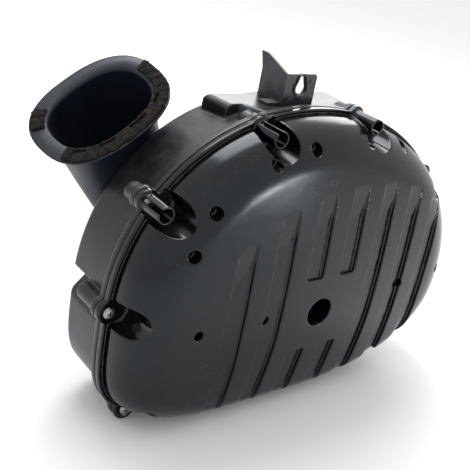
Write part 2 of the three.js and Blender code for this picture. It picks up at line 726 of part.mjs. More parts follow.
function grommet(at) {
  const { waist, flange, bore, lip } = GROMMET;
  const front = REAR_EAR.y - lip;
  const back = REAR_EAR.y + REAR_EAR.thickness + lip;
  return post(at, front, back, waist)
    .add(post(at, front, REAR_EAR.y - GAP, flange))
    .add(post(at, back - lip + GAP, back, flange))
    .subtract(post(at, front - 1, back + 1, bore));
}

function collar(at) {
  const { inner, out } = COLLAR;
  return tube(at, REAR_EAR.y - out, REAR_EAR.y + REAR_EAR.thickness + out, inner, GROMMET.bore - GAP, 20);
}

// ---- Assembly ----
const group = new THREE.Group();

const FINISH = {
  plastic: { color: 0x1c2026, roughness: 0.5, metalness: 0 },
  cover: { color: 0x1f2225, roughness: 0.4, metalness: 0 },
  duct: { color: 0x171c28, roughness: 0.55, metalness: 0 },
  foam: { color: 0x2b2724, roughness: 1, metalness: 0 },
  rubber: { color: 0x111111, roughness: 0.85, metalness: 0 },
  steel: { color: 0xb9bcc0, roughness: 0.3, metalness: 1 },
  bracket: { color: 0x23272b, roughness: 0.5, metalness: 0.6 },
  brass: { color: 0xb08d4a, roughness: 0.35, metalness: 1 },
  paper: { color: 0xcbb98f, roughness: 0.95, metalness: 0 },
};

function place(name, body, finish) {
  const made = body.getMesh();
  const shape = new THREE.BufferGeometry();
  shape.setAttribute('position', new THREE.BufferAttribute(new Float32Array(made.vertProperties), 3));
  shape.setIndex(new THREE.BufferAttribute(new Uint32Array(made.triVerts), 1));
  shape.computeVertexNormals();
  const mesh = new THREE.Mesh(shape, new THREE.MeshStandardMaterial(FINISH[finish]));
  mesh.name = name;
  group.add(mesh);
}

place('casing', casing(), 'plastic');
place('cover', cover(), 'cover');
place('intake_duct', duct(), 'duct');
place('duct_seal', foamPiece(FOAM.from, FOAM.to, FOAM.thickness), 'foam');
place('duct_seal_scrap', foamPiece(FOAM.scrapFrom, FOAM.scrapTo, FOAM.thickness - 1), 'foam');
place('top_bracket', topBracket(), 'bracket');
place('cover_gasket', gasketRing(GASKET.inner, GASKET.outer, GASKET.front, GASKET.depth), 'rubber');
place('filter_frame', filterFrame(), 'rubber');
place('filter_media', filterMedia(), 'paper');
place('filter_rim_seal', filterSeal(), 'foam');
place('filter_screen', filterScreen(), 'steel');
place('outlet_boot', outletBoot(), 'rubber');
place('boot_clamp', bootClamp(), 'steel');
place('drain_cap', drainCap(), 'rubber');

[...TOWERS, ...PLAIN_SCREWS].forEach((at, i) => {
  place(`cover_screw_${i + 1}`, panScrew(at, -COVER_FLANGE - GAP, SCREW_REACH), 'steel');
  place(`insert_${i + 1}`, insert(at), 'brass');
});
BRACKET_SCREWS.forEach((at, i) => place(`bracket_screw_${i + 1}`, bracketScrew(at), 'steel'));
const lugFront = frameBack() - LUG.thickness - GAP;
elementScrewSpots().forEach((at, i) => {
  place(`element_screw_${i + 1}`, panScrew(at, lugFront, ELEMENT_SCREW_END), 'steel');
});
REAR_EARS.forEach((at, i) => {
  place(`mount_grommet_${i + 1}`, grommet(at), 'rubber');
  place(`mount_collar_${i + 1}`, collar(at), 'steel');
});

// The part's origin is the middle of its underside.
const extent = new THREE.Box3().setFromObject(group);
const middle = extent.getCenter(new THREE.Vector3()).setZ(extent.min.z);
group.children.forEach((mesh) => mesh.geometry.translate(-middle.x, -middle.y, -middle.z));

export default group;
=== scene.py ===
"""Looks of the air filter housing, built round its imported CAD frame.

Lengths are millimetres in the drawing's own frame: x = 0 at the pole of the flange outline, y = 0 where the
two flanges meet, z = 0 under them. to_frame() moves a finished mesh into the row frame, in metres.
"""

import math

import bmesh
import bpy
import numpy as np
from mathutils import Matrix, Quaternion, Vector, noise


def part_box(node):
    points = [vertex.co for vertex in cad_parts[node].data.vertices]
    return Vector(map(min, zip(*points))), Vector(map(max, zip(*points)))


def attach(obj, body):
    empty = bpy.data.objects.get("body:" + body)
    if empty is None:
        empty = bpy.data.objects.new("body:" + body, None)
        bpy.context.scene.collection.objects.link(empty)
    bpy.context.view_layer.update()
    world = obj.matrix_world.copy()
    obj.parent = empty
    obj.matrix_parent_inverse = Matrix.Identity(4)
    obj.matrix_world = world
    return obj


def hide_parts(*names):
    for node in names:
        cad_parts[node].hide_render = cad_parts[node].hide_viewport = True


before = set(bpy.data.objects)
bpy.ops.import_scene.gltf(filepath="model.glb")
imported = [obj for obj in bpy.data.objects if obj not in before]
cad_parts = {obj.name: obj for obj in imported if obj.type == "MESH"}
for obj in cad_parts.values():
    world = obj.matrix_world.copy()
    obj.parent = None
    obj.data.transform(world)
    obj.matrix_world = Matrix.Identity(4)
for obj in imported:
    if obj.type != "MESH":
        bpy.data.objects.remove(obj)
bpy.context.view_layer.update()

# ---- Driving dimensions, as in the CAD part ----
POLE_Z = 93.5
HALF_LEFT = 160.0
HALF_RIGHT = 189.0
HEIGHT_ABOVE = 151.5
EXPONENT = {"upper_left": 2.15, "upper_right": 1.97, "lower_left": 4.5, "lower_right": 2.38}
AROUND = 240
GAP = 0.3
AXIS_RADIUS = 0.02
CENTRE_SCALE = 0.004

COVER_FLANGE = 4.0
COVER_LIP = 5.5
# Flange of the cover from the dome's foot outwards, as (scale, y).
COVER_RIM = [
    (0.9755, -4), (0.985, -4), (0.9862, -5.2), (0.988, -5.5), (0.998, -5.5), (1, -5), (1, -0.5), (0.998, 0),
]
DOME_FOOT = 0.975
SHOULDER_START = 0.78
SHOULDER_HEIGHT = 33.0
SHOULDER_POWER = 2.3
CROWN_HEIGHT = 13.0
CROWN_POWER = 1.6
WALL = 3.0
WALL_SCALE = 0.98
LAND_INNER = 0.885

GROOVE_COUNT = 7
GROOVE_PITCH = 34.4
GROOVE_WIDTH = 16.0
GROOVE_DEPTH = 3.2
GROOVE_FIRST_X = -74.4
GROOVE_TOP = {"z": 196.0, "x": 38.0, "reach": 115.0, "drop": 38.0, "power": 2.6, "ramp": 26.0}
GROOVE_LOW_RAMP = 10.0
GROOVE_FOOT = -10
GROOVE_FRONT = -80
GROOVE_BACK = -8
GROOVE_BREAK = (60.0, 124.0)
BROKEN_GROOVES = (2, 3)

# Sockets for the outer trim, as (x, z, radius, depth).
SOCKETS = [
    (7, 93.5, 12, 30),
    (-102.8, 184.6, 4.7, 8),
    (-116.9, 155.4, 4.7, 8),
    (-56.4, 216.2, 4.7, 8),
    (-21.7, 225, 4.7, 8),
    (37.8, 226.8, 4.7, 8),
    (84.3, 219, 4.7, 8),
    (-104.1, 92, 3.7, 7),
    (-45.6, 94, 3.7, 7),
    (103.7, 99, 3.7, 7),
    (162.6, 101, 3.7, 7),
]
SOCKET_WALL = 2.0

TOWERS = [(-137.6, 183.2), (-50.7, 231), (44, 236.5)]
PLAIN_SCREWS = [(147, 181), (-157, 100.8), (-131, 10.5), (182, 101), (110, 14.5)]
SCREW_RADIUS = 2.5
SCREW_HOLE = 2.8
HEAD_RADIUS = 4.75
HEAD = {"edge": 1.2, "crown": 2.2, "height": 3.4, "turn": 1.45}
CROSS_ARMS = [(2.7, 0.62), (0.62, 2.7)]
SCREW_REACH = 12.0
TOWER_RADIUS = 6.6
TOWER_BORE = 5.1
TOWER_MOUTH = -28.0
TOWER_SLOT = 3.4
# Clearances through the shoulder in front of the screws, as (x, z, radius).
SCALLOPS = [
    (-129.4, 180.2, 13),
    (-48.8, 230.2, 12.5),
    (53, 235.5, 15.5),
    (144, 178.5, 10.5),
    (-152, 100.8, 11),
    (-129, 14, 10),
    (178.5, 101, 10),
    (108.5, 17.5, 10),
]
SCALLOP_FLARE = 2.5
SCALLOP_FILLET = 1.5
SCALLOP_FRONT = -60
EAR_RADIUS = 9.0

CASING_FLANGE = 6.3
SHELL_DEPTH = 58.0
SHELL_BACK = {"scale": 0.935, "spread": 0.029, "round": 5}
SHELL_FOOT = 0.966
ROOM = {"back": 0.915, "side": 0.935, "foot": 0.938, "corner": 3}
REAR = {"x0": -44, "x1": 105, "z0": 45, "z1": 172, "y": 108, "round": 14}
SHELF = {"z0": 170, "z1": 240.5, "round": 5}
SHELF_PLAN = [(-66, 50), (-63, 23), (-52, 23), (-42, 4), (60, 4), (62, 50)]
NOTCH = [(-180, 107.5), (-140, 107.5), (-140, 99), (-153, 85.5), (-157, 76), (-180, 76)]
SHELF_REACH = 40
RIBS = [(-72, -66), (66, 72)]
RIB_FRONT = 3.0
RIB_DEPTH = 48.0
RIB_TOP = 12.0
WINDOW = (-14, 80, 40, 70, 62, 134)
INSERT_RADIUS = 3.9
BOSS_RADIUS = 7.0
BOSS_END = 17.0
SIDE_BOSS_END = 30.0
SIDE_BOSS = 4
GASKET_GROOVE = (0.896, 0.918, 3.5)

MOUTH = {"x": -136.5, "y": 75, "z": 222.7, "lean_left": 41.3, "lean_front": 21.1, "twist": 12.7}
MOUTH_LONG = 52.5
MOUTH_SHORT = 41.8
MOUTH_POWER = 2.5
MOUTH_RIM = 13.3
NECK_INSET = 10.7
DUCT_WALL = 2.6
DUCT_LENGTH = 95.0
DUCT_BASE = {"x": -95, "y": 50, "z": 138, "long": 0.7, "short": 0.74}
DUCT_ELBOW = (-104, 92, 168)
DUCT_TAIL = 12.0
FOAM = {"from": -158, "to": 10, "thickness": 3.4}
FOAM_SCRAP = {"from": 128, "to": 158, "thickness": 2.2}
FOAM_SLOTS = [-139, -108, -80, -47]
SLOT = {"span": 8.5, "inset": 8.4, "half": 1.2, "floor": 0.6, "top": 9}

OUTLET = {"x": 34, "z": 98, "inner": 21, "outer": 24, "end": 126}
OUTLET_START = 90
BOOT = {"start": 2, "end": 22, "wall": 4, "bead": 6, "ribs": 2, "first_rib": 17, "rib_pitch": 7}
CLAMP = {"start": 8, "width": 9, "band": 1, "lip": 1.6, "half": 7, "top": 7}
CLAMP_SCREW = {"radius": 2.4, "head": 3.6, "head_end": -9.5, "from": -13, "to": 10, "up": 4}
DRAIN = {"x": 27, "y": 82, "radius": 5, "end": 30}
REAR_EARS = [(-24, 32), (84, 32)]
REAR_EAR_Y = 92.0
REAR_EAR = {"half": 13, "thickness": 5, "round": 5, "hole": 8, "overlap": 8}
GROMMET = {"flange": 11, "waist": 8, "bore": 5, "lip": 3.5}
COLLAR = {"inner": 3.2, "out": 5, "chamfer": 0.4}
TAB = {"x0": -19, "x1": 12, "y": 15, "z1": 265, "sheet": 2, "corner": 2}
KEYHOLE = {"x": -3.2, "z": 256.5, "wide": 4.8, "wide_z": -2, "neck": 2.6, "neck_z": 4.5}
KEYHOLE_RIM = {"inner": 0.8, "outer": 2.2, "proud": 1.4}
FIN_TOP = [(44, 262), (48, 274), (40, 274)]
BRACKET_FOOT = {"back": 44, "wing": 12, "wing_from": 2, "wing_to": 12}
BRACKET_SCREWS = [(-11, 34), (5, 34)]
BRACKET_SCREW_LENGTH = 9

# Voxel size, smoothing rounds and share of faces kept, for each moulded piece.
MOULDING = {"cover": (0.75, 3, 0.35), "casing": (0.9, 3, 0.35), "foam": (0.5, 1), "scrap": (0.6, 1)}

# ---- Looks ----
DUST = (0.34, 0.34, 0.32)
PLASTICS = {
    "cover_plastic": {
        "dark": (0.0004, 0.0006, 0.0012), "light": (0.002, 0.0024, 0.0028), "roughness": 0.17, "dusty": 0.02,
    },
    "casing_plastic": {
        "dark": (0.0015, 0.002, 0.003), "light": (0.005, 0.006, 0.0075), "roughness": 0.34, "dusty": 0.14,
    },
    "duct_plastic": {
        "dark": (0.003, 0.0045, 0.009), "light": (0.008, 0.0105, 0.018), "roughness": 0.38, "dusty": 0.1,
    },
}
RUBBERS = {"gasket_rubber": 0.014, "boot_rubber": 0.011, "frame_rubber": 0.018}
METALS = {
    "screw_steel": {"tone": (0.34, 0.33, 0.3), "roughness": 0.34, "stain": (0.12, 0.09, 0.06), "share": 0.3},
    "clamp_steel": {"tone": (0.6, 0.6, 0.6), "roughness": 0.26, "stain": (0.3, 0.27, 0.22), "share": 0.2},
    "screen_steel": {"tone": (0.45, 0.45, 0.44), "roughness": 0.4, "stain": (0.2, 0.15, 0.1), "share": 0.4},
    "insert_brass": {"tone": (0.6, 0.43, 0.18), "roughness": 0.32, "stain": (0.2, 0.12, 0.05), "share": 0.3},
}

# The pieces seen only with the cover off keep their CAD mesh and take a finish, by the start of their name.
CAD_FINISH = {
    "filter_frame": "frame_rubber",
    "filter_media": "filter_paper",
    "filter_rim_seal": "foam",
    "filter_screen": "screen_steel",
    "cover_gasket": "gasket_rubber",
    "element_screw": "screw_steel",
    "insert": "insert_brass",
}

# Soft lights, in metres in the row frame.
LIGHTS = [
    {"name": "top", "at": (0.1, 0.6, 1.5), "towards": (0, 0, 0.12), "size": (0.9, 0.9), "power": 16},
    {"name": "back", "at": (0.85, 0.78, 0.75), "towards": (0, 0, 0.12), "size": (0.9, 0.6), "power": 8},
    {
        "name": "patch", "at": (0.5, -0.98, 0.1), "towards": (-0.06, -0.09, 0.2), "size": (0.24, 0.12),
        "power": 2,
    },
]
FLOOR_HALF = 6.0

# Camera, in the drawing's frame.
CAMERA = {"at": (-428.8, -422.5, 398.6), "azimuth": 41.766, "down": 24.118, "roll": 11.484, "field": 31.93}


def shift_to_frame():
    """What a drawing point is moved by: the first threaded insert is known in both frames."""
    low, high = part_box("insert_1")
    middle = (low + high) * 500
    x, z = TOWERS[0]
    return Vector((middle.x - x, low.y * 1000 - 1, middle.z - z))


SHIFT = shift_to_frame()
TO_FRAME = Matrix.Scale(0.001, 4) @ Matrix.Translation(SHIFT)


# ---- Meshes ----
def new_object(name, verts, faces):
    mesh = bpy.data.meshes.new(name)
    mesh.from_pydata([tuple(v) for v in verts], [], faces)
    shape = bmesh.new()
    shape.from_mesh(mesh)
    bmesh.ops.recalc_face_normals(shape, faces=shape.faces)
    shape.to_mesh(mesh)
    shape.free()
    obj = bpy.data.objects.new(name, mesh)
    bpy.context.scene.collection.objects.link(obj)
    return obj


def loft(name, rings, closed=False):
    """A skin through equal rings of points: joined end to start if closed, or else capped at both ends."""
    count = len(rings[0])
    verts = [np.array(p, float) for ring in rings for p in ring]
    faces = []
    steps = len(rings) if closed else len(rings) - 1
    for i in range(steps):
        low = i * count
        high = ((i + 1) % len(rings)) * count
        for j in range(count):
            k = (j + 1) % count
            faces.append((low + j, low + k, high + k, high + j))
    if not closed:
        for start in (0, (len(rings) - 1) * count):
            verts.append(np.mean(verts[start:start + count], axis=0))
            hub = len(verts) - 1
            faces += [(start + j, start + (j + 1) % count, hub) for j in range(count)]
    return new_object(name, verts, faces)


def circle(count):
    return np.linspace(0, 2 * math.pi, count, endpoint=False)


def bar(start, end, radius, sides=48):
    """A straight round bar between two points."""
    start, end = Vector(start), Vector(end)
    turn = (end - start).to_track_quat("Z", "Y")
    rings = []
    for centre in (start, end):
        rings.append([
            centre + turn @ Vector((radius * math.cos(a), radius * math.sin(a), 0)) for a in circle(sides)
        ])
    return loft("bar", rings)


def post(at, y0, y1, radius, sides=48):
    """A bar along Y at one place of the cover plane."""
    return bar((at[0], y0, at[1]), (at[0], y1, at[1]), radius, sides)


def turned(name, at, profile, sides=48, closed=True):
    """A solid of revolution round an axis along Y; the profile holds (radius, y)."""
    rings = []
    for radius, y in profile:
        rings.append([
            (at[0] + radius * math.cos(a), y, at[1] + radius * math.sin(a)) for a in circle(sides)
        ])
    return loft(name, rings, closed)


def box(x0, x1, y0, y1, z0, z1):
    corners = [(x, y, z) for x in (x0, x1) for y in (y0, y1) for z in (z0, z1)]
    faces = [(0, 1, 3, 2), (4, 6, 7, 5), (0, 4, 5, 1), (2, 3, 7, 6), (0, 2, 6, 4), (1, 5, 7, 3)]
    return new_object("box", corners, faces)


def rounded_outline(x0, x1, z0, z1, radius, steps=8):
    """The points of a rectangle in XZ with round corners."""
    points = []
    corners = [(x1, z0, -90), (x1, z1, 0), (x0, z1, 90), (x0, z0, 180)]
    for x, z, start in corners:
        cx = x + (radius if x == x0 else -radius)
        cz = z + (radius if z == z0 else -radius)
        for i in range(steps + 1):
            a = math.radians(start + 90 * i / steps)
            points.append((cx + radius * math.cos(a), cz + radius * math.sin(a)))
    return points


def rounded_block(x0, x1, z0, z1, y0, y1, radius):
    """A box with rounded edges along Y."""
    corners = rounded_outline(x0, x1, z0, z1, radius)
    return loft("block", [[(x, y, z) for x, z in corners] for y in (y0, y1)])


def combine(base, steps):
    """The base after (operation, tool) steps, each a solid joined on, taken out or kept in common."""
    for operation, tool in steps:
        change = base.modifiers.new("change", "BOOLEAN")
        change.operation = operation
        change.solver = "MANIFOLD"
        change.object = tool
    apply_modifiers(base)
    for _, tool in steps:
        if tool.name in bpy.data.objects:
            bpy.data.objects.remove(tool)
    return base


def apply_modifiers(obj):
    """Swaps the mesh for the one its modifiers make."""
    bpy.context.view_layer.update()
    seen = obj.evaluated_get(bpy.context.evaluated_depsgraph_get())
    mesh = bpy.data.meshes.new_from_object(seen)
    obj.modifiers.clear()
    obj.data = mesh


def moulded(obj, voxel, rounds, keep=1.0):
    """Turns a crisp solid into one with the soft edges of a moulding."""
    skin = obj.modifiers.new("skin", "REMESH")
    skin.mode = "VOXEL"
    skin.voxel_size = voxel
    soften = obj.modifiers.new("soften", "SMOOTH")
    soften.factor = 0.5
    soften.iterations = rounds
    if keep < 1:
        thin = obj.modifiers.new("thin", "DECIMATE")
        thin.ratio = keep
    apply_modifiers(obj)
    return obj


def bevelled(obj, width, segments=2):
    """Rounds the edges of a crisp solid."""
    edges = obj.modifiers.new("edges", "BEVEL")
    edges.width = width
    edges.segments = segments
    edges.limit_method = "ANGLE"
    edges.angle_limit = math.radians(35)
    apply_modifiers(obj)
    return obj


def to_frame(obj, name, smooth_angle=None):
    """Moves a finished drawing mesh into the row frame and names it."""
    obj.data.transform(TO_FRAME)
    obj.name = name
    obj.data.name = name
    obj.data.shade_smooth()
    if smooth_angle is not None:
        sharp_edges(obj.data, math.radians(smooth_angle))
    return obj


def sharp_edges(mesh, angle):
    """Keeps the edges that bend by more than an angle crisp under smooth shading."""
    shape = bmesh.new()
    shape.from_mesh(mesh)
    for edge in shape.edges:
        edge.smooth = len(edge.link_faces) == 2 and edge.calc_face_angle(0) < angle
    shape.to_mesh(mesh)
    shape.free()


def piece(obj, name, node, slot, body, smooth_angle=None):
    """A finished piece: placed, painted, riding its body and standing for its CAD node."""
    to_frame(obj, name, smooth_angle)
    obj.data.materials.clear()
    obj.data.materials.append(FINISH[slot])
    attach(obj, body)
    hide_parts(node)
    return obj


# ---- The flange outline ----
def signed_power(value, power):
    return np.sign(value) * np.abs(value) ** power


def quarter(x, up):
    """Half width, height and exponent of the outline's quarter that holds one place."""
    right = np.asarray(x) >= 0
    above = np.asarray(up) >= 0
    half = np.where(right, HALF_RIGHT, HALF_LEFT)
    height = np.where(above, HEIGHT_ABOVE, POLE_Z)
    upper = np.where(right, EXPONENT["upper_right"], EXPONENT["upper_left"])
    lower = np.where(right, EXPONENT["lower_right"], EXPONENT["lower_left"])
    return half, height, np.where(above, upper, lower)


def scale_at(x, z):
    """The scale of the outline that passes through one place."""
    up = np.asarray(z, float) - POLE_Z
    half, height, power = quarter(x, up)
    return (np.abs(x / half) ** power + np.abs(up / height) ** power) ** (1 / power)


def outline(scale):
    """x and z round the outline at one scale, at even angles from the pole."""
    angle = circle(AROUND)
    x, z = np.cos(angle), np.sin(angle)
    reach = scale / scale_at(x, z + POLE_Z)
    return reach * x, POLE_Z + reach * z


def outline_solid(name, profile, sink=None, closed=False):
    """Rings of scaled outlines; the profile holds (scale, y) and sink(x, z) moves points along Y."""
    rings = []
    for scale, y in profile:
        x, z = outline(max(scale, CENTRE_SCALE))
        depth = y + (sink(x, z) if sink else np.zeros_like(x))
        rings.append(np.stack([x, depth, z], axis=1))
    return loft(name, rings, closed)


# ---- Cover ----
def dome_height(scale):
    """How far the dome stands in front of y = 0, at one scale of the outline."""
    inside = np.minimum(np.asarray(scale, float) / DOME_FOOT, 1)
    edge = np.maximum((inside - SHOULDER_START) / (1 - SHOULDER_START), 0)
    shoulder = SHOULDER_HEIGHT * np.maximum(1 - edge**SHOULDER_POWER, 0) ** (1 / SHOULDER_POWER)
    return COVER_FLANGE + shoulder + CROWN_HEIGHT * (1 - inside**CROWN_POWER)


def dome_y(x, z):
    return -float(dome_height(scale_at(x, z)))


def dome_profile(crown_steps=60, shoulder_steps=30):
    """(scale, y) from the centre of the dome to its foot."""
    crown = np.linspace(0, SHOULDER_START, crown_steps)
    turn = np.linspace(0, math.pi / 2, shoulder_steps + 1)[1:]
    shoulder = SHOULDER_START + (1 - SHOULDER_START) * np.sin(turn) ** (2 / SHOULDER_POWER)
    scales = np.concatenate([crown, shoulder]) * DOME_FOOT
    return [(s, -float(dome_height(s))) for s in scales]


def cover_room():
    """The room inside the cover, bounded by the land that presses on the gasket."""
    wall = [(s * WALL_SCALE, y + WALL) for s, y in dome_profile(30, 14)]
    wall = [(s, y) for s, y in wall if y < -WALL - 1]
    foot = [(DOME_FOOT * WALL_SCALE, -WALL), (LAND_INNER, -WALL), (LAND_INNER, 1), (0, 1)]
    return outline_solid("room", wall + foot)


def groove_top(x):
    away = np.abs(x - GROOVE_TOP["x"]) / GROOVE_TOP["reach"]
    return GROOVE_TOP["z"] - GROOVE_TOP["drop"] * away ** GROOVE_TOP["power"]


def groove_cutters(extra):
    """The channels of the face as solids; the floor of each rises to the face at its ends."""
    def sink(x, z):
        upper = np.clip((groove_top(x) - z) / GROOVE_TOP["ramp"], 0, 1)
        lower = np.clip((z - GROOVE_LOW_RAMP) / GROOVE_LOW_RAMP, 0, 1)
        return GROOVE_DEPTH * upper * lower + extra

    cutters = []
    half = GROOVE_WIDTH / 2 + extra
    for i in range(GROOVE_COUNT):
        x = GROOVE_FIRST_X + i * GROOVE_PITCH
        top = float(groove_top(x)) + extra
        spans = [(GROOVE_FOOT, top)]
        if i in BROKEN_GROOVES:
            spans = [(GROOVE_FOOT, GROOVE_BREAK[0] + extra), (GROOVE_BREAK[1] - extra, top)]
        for z0, z1 in spans:
            strip = box(x - half, x + half, GROOVE_FRONT, GROOVE_BACK, z0, z1)
            bed = outline_solid("floor", dome_profile(90, 20) + [(DOME_FOOT, 20), (0, 20)], sink)
            cutters.append(combine(strip, [("DIFFERENCE", bed)]))
    return cutters


def prism(points, y0, y1):
    """A solid with one outline in XZ, between two planes of y."""
    return loft("prism", [[(x, y, z) for x, z in points] for y in (y0, y1)])


def scallop(spot, extra):
    """A widening bore that clears the shoulder in front of one screw, down to the flange."""
    x, z, radius = spot
    bed = -COVER_FLANGE + extra
    start = radius + extra
    profile = [
        (AXIS_RADIUS, bed),
        (start - SCALLOP_FILLET, bed),
        (start - 0.3, bed - SCALLOP_FILLET),
        (start + SCALLOP_FLARE, SCALLOP_FRONT),
        (AXIS_RADIUS, SCALLOP_FRONT),
    ]
    return turned("scallop", (x, z), profile, 64, closed=False)


def scallops(extra):
    return [scallop(spot, extra) for spot in SCALLOPS]


def tower_slot(at):
    """The cut that opens a tower outwards."""
    outward = math.atan2(at[1] - POLE_Z, at[0])
    cut = box(0, TOWER_RADIUS * 1.7, TOWER_MOUTH - 20, -COVER_LIP, -TOWER_SLOT / 2, TOWER_SLOT / 2)
    cut.data.transform(Matrix.Translation((at[0], 0, at[1])) @ Matrix.Rotation(-outward, 4, "Y"))
    return cut


def cover_solid():
    screws = TOWERS + PLAIN_SCREWS
    blank = outline_solid("cover", dome_profile() + COVER_RIM + [(0, 0)])
    steps = [("UNION", post(at, 0, -COVER_LIP, EAR_RADIUS)) for at in screws]
    steps += [("DIFFERENCE", cut) for cut in scallops(0) + groove_cutters(0)]
    steps += [("UNION", post(at, -1, TOWER_MOUTH, TOWER_RADIUS)) for at in TOWERS]
    steps += [("DIFFERENCE", cover_hollow())]
    steps += [("DIFFERENCE", post(at, -COVER_FLANGE, TOWER_MOUTH - 4, TOWER_BORE)) for at in TOWERS]
    steps += [("DIFFERENCE", tower_slot(at)) for at in TOWERS]
    for x, z, radius, depth in SOCKETS:
        face = dome_y(x, z)
        steps.append(("DIFFERENCE", post((x, z), face - 12, face + depth, radius)))
    steps += [("DIFFERENCE", post(at, 2, -12, SCREW_HOLE)) for at in screws]
    return combine(blank, steps)


def cover_hollow():
    """The cover's inner room, less the walls behind its scallops, grooves, sockets and towers."""
    steps = [("DIFFERENCE", cut) for cut in scallops(WALL) + groove_cutters(WALL)]
    for x, z, radius, depth in SOCKETS:
        face = dome_y(x, z)
        boss = post((x, z), face - 2, face + depth + SOCKET_WALL, radius + SOCKET_WALL)
        steps.append(("DIFFERENCE", boss))
    steps += [("DIFFERENCE", post(at, 2, TOWER_MOUTH - 2, TOWER_RADIUS + 1)) for at in TOWERS]
    return combine(cover_room(), steps)


# ---- Casing ----
def casing_shell():
    back, spread, bend_round = SHELL_BACK["scale"], SHELL_BACK["spread"], SHELL_BACK["round"]
    corner = np.linspace(0, math.pi / 2, 6)
    bend = [(back + spread * math.sin(a), SHELL_DEPTH - bend_round * (1 - math.cos(a))) for a in corner]
    rim = [
        (SHELL_FOOT, CASING_FLANGE),
        (0.998, CASING_FLANGE),
        (1, CASING_FLANGE - 0.5),
        (1, GAP + 0.5),
        (0.998, GAP),
    ]
    return outline_solid("casing", [(0, SHELL_DEPTH)] + bend + rim + [(0, GAP)])


def casing_room():
    """The main room of the casing, less the wall round its side notch."""
    back = SHELL_DEPTH - WALL
    room = outline_solid("room", [
        (0, back),
        (ROOM["back"], back),
        (ROOM["side"], back - ROOM["corner"]),
        (ROOM["foot"], CASING_FLANGE + 1),
        (LAND_INNER, CASING_FLANGE),
        (LAND_INNER, -1),
        (0, -1),
    ])
    inner_notch = prism([(x + WALL, z) for x, z in NOTCH], CASING_FLANGE, SHELL_DEPTH + 1)
    return combine(room, [("DIFFERENCE", inner_notch)])


def shelf():
    """The raised flat under the bracket, with a rounded top edge."""
    z0, z1, round_edge = SHELF["z0"], SHELF["z1"], SHELF["round"]
    rings = [[(x, y, z0) for x, y in SHELF_PLAN]]
    middle = np.mean(SHELF_PLAN, axis=0)
    for a in np.linspace(0, math.pi / 2, 6):
        inset = round_edge * (1 - math.cos(a))
        z = z1 - round_edge * (1 - math.sin(a))
        shrink = 1 - inset / SHELF_REACH
        rings.append([(*(middle + (np.array(p) - middle) * shrink), z) for p in SHELF_PLAN])
    return loft("shelf", rings)


def casing_adds():
    """What stands on the shell: rear box, ribs, outlet and drain spigots."""
    hump = rounded_block(REAR["x0"], REAR["x1"], REAR["z0"], REAR["z1"], 40, REAR["y"], REAR["round"])
    adds = [bevelled(hump, 3, 3)]
    adds += [box(x0, x1, RIB_FRONT, RIB_DEPTH, 0, RIB_TOP) for x0, x1 in RIBS]
    adds.append(post((OUTLET["x"], OUTLET["z"]), REAR["y"] - 2, OUTLET["end"], OUTLET["outer"], 96))
    adds.append(drain_bar(REAR["z0"] + 1, DRAIN["end"], DRAIN["radius"]))
    return adds


def casing_cuts():
    """What is taken out of the casing: rooms, filter window, bores, duct and gasket seat."""
    inner, outer, depth = GASKET_GROOVE
    x0, x1, z0, z1 = REAR["x0"] + WALL, REAR["x1"] - WALL, REAR["z0"] + WALL, REAR["z1"] - WALL
    cuts = [
        casing_room(),
        box(x0, x1, SHELL_DEPTH, REAR["y"] - WALL, z0, z1),
        box(*WINDOW),
        post((OUTLET["x"], OUTLET["z"]), OUTLET_START, OUTLET["end"] + 1, OUTLET["inner"], 96),
        drain_bar(REAR["z0"] + 8, DRAIN["end"] - 1, DRAIN["radius"] - 2),
        duct_body(GAP),
        outline_solid("seat", [(outer, -1), (outer, depth), (inner, depth), (inner, -1)], closed=True),
    ]
    cuts += [post(at, 0, BOSS_END - 2, INSERT_RADIUS + GAP) for at in TOWERS + PLAIN_SCREWS]
    return cuts + [bar((x, y, 228), (x, y, 250), SCREW_HOLE) for x, y in BRACKET_SCREWS]


def casing_solid():
    shell = casing_shell()
    screws = TOWERS + PLAIN_SCREWS
    steps = [("UNION", shelf()), ("DIFFERENCE", prism(NOTCH, CASING_FLANGE, SHELL_DEPTH + 1))]
    steps += [("UNION", post(at, GAP, CASING_FLANGE, EAR_RADIUS)) for at in screws]
    for i, at in enumerate(screws):
        end = SIDE_BOSS_END if i == SIDE_BOSS else BOSS_END
        steps.append(("UNION", post(at, 5, end, BOSS_RADIUS)))
    steps += [("UNION", add) for add in casing_adds()]
    steps += [("DIFFERENCE", cut) for cut in casing_cuts()]
    steps += [("UNION", rear_ear(at)) for at in REAR_EARS]
    return combine(shell, steps)


def drain_bar(z_from, z_to, radius):
    return bar((DRAIN["x"], DRAIN["y"], z_from), (DRAIN["x"], DRAIN["y"], z_to), radius)


def rear_ear(at):
    x, z = at
    half, y0 = REAR_EAR["half"], REAR_EAR_Y
    y1 = y0 + REAR_EAR["thickness"]
    top = REAR["z0"] + REAR_EAR["overlap"]
    plate = rounded_block(x - half, x + half, z - half, top, y0, y1, REAR_EAR["round"])
    return combine(plate, [("DIFFERENCE", post(at, y0 - 1, y1 + 1, REAR_EAR["hole"] + GAP))])


# ---- Intake duct ----
def mouth_matrix():
    """Long axis, mouth normal and third axis of the oval mouth, with its centre."""
    left = math.sin(math.radians(MOUTH["lean_left"]))
    front = math.sin(math.radians(MOUTH["lean_front"]))
    normal = Vector((-left, -front, 1)).normalized()
    long = (Vector((1, 0, 0)) - normal * normal.x).normalized()
    long.rotate(Quaternion(normal, math.radians(MOUTH["twist"])))
    third = long.cross(normal)
    place = Matrix((long, normal, third)).transposed().to_4x4()
    place.translation = (MOUTH["x"], MOUTH["y"], MOUTH["z"])
    return place


MOUTH_PLACE = mouth_matrix()


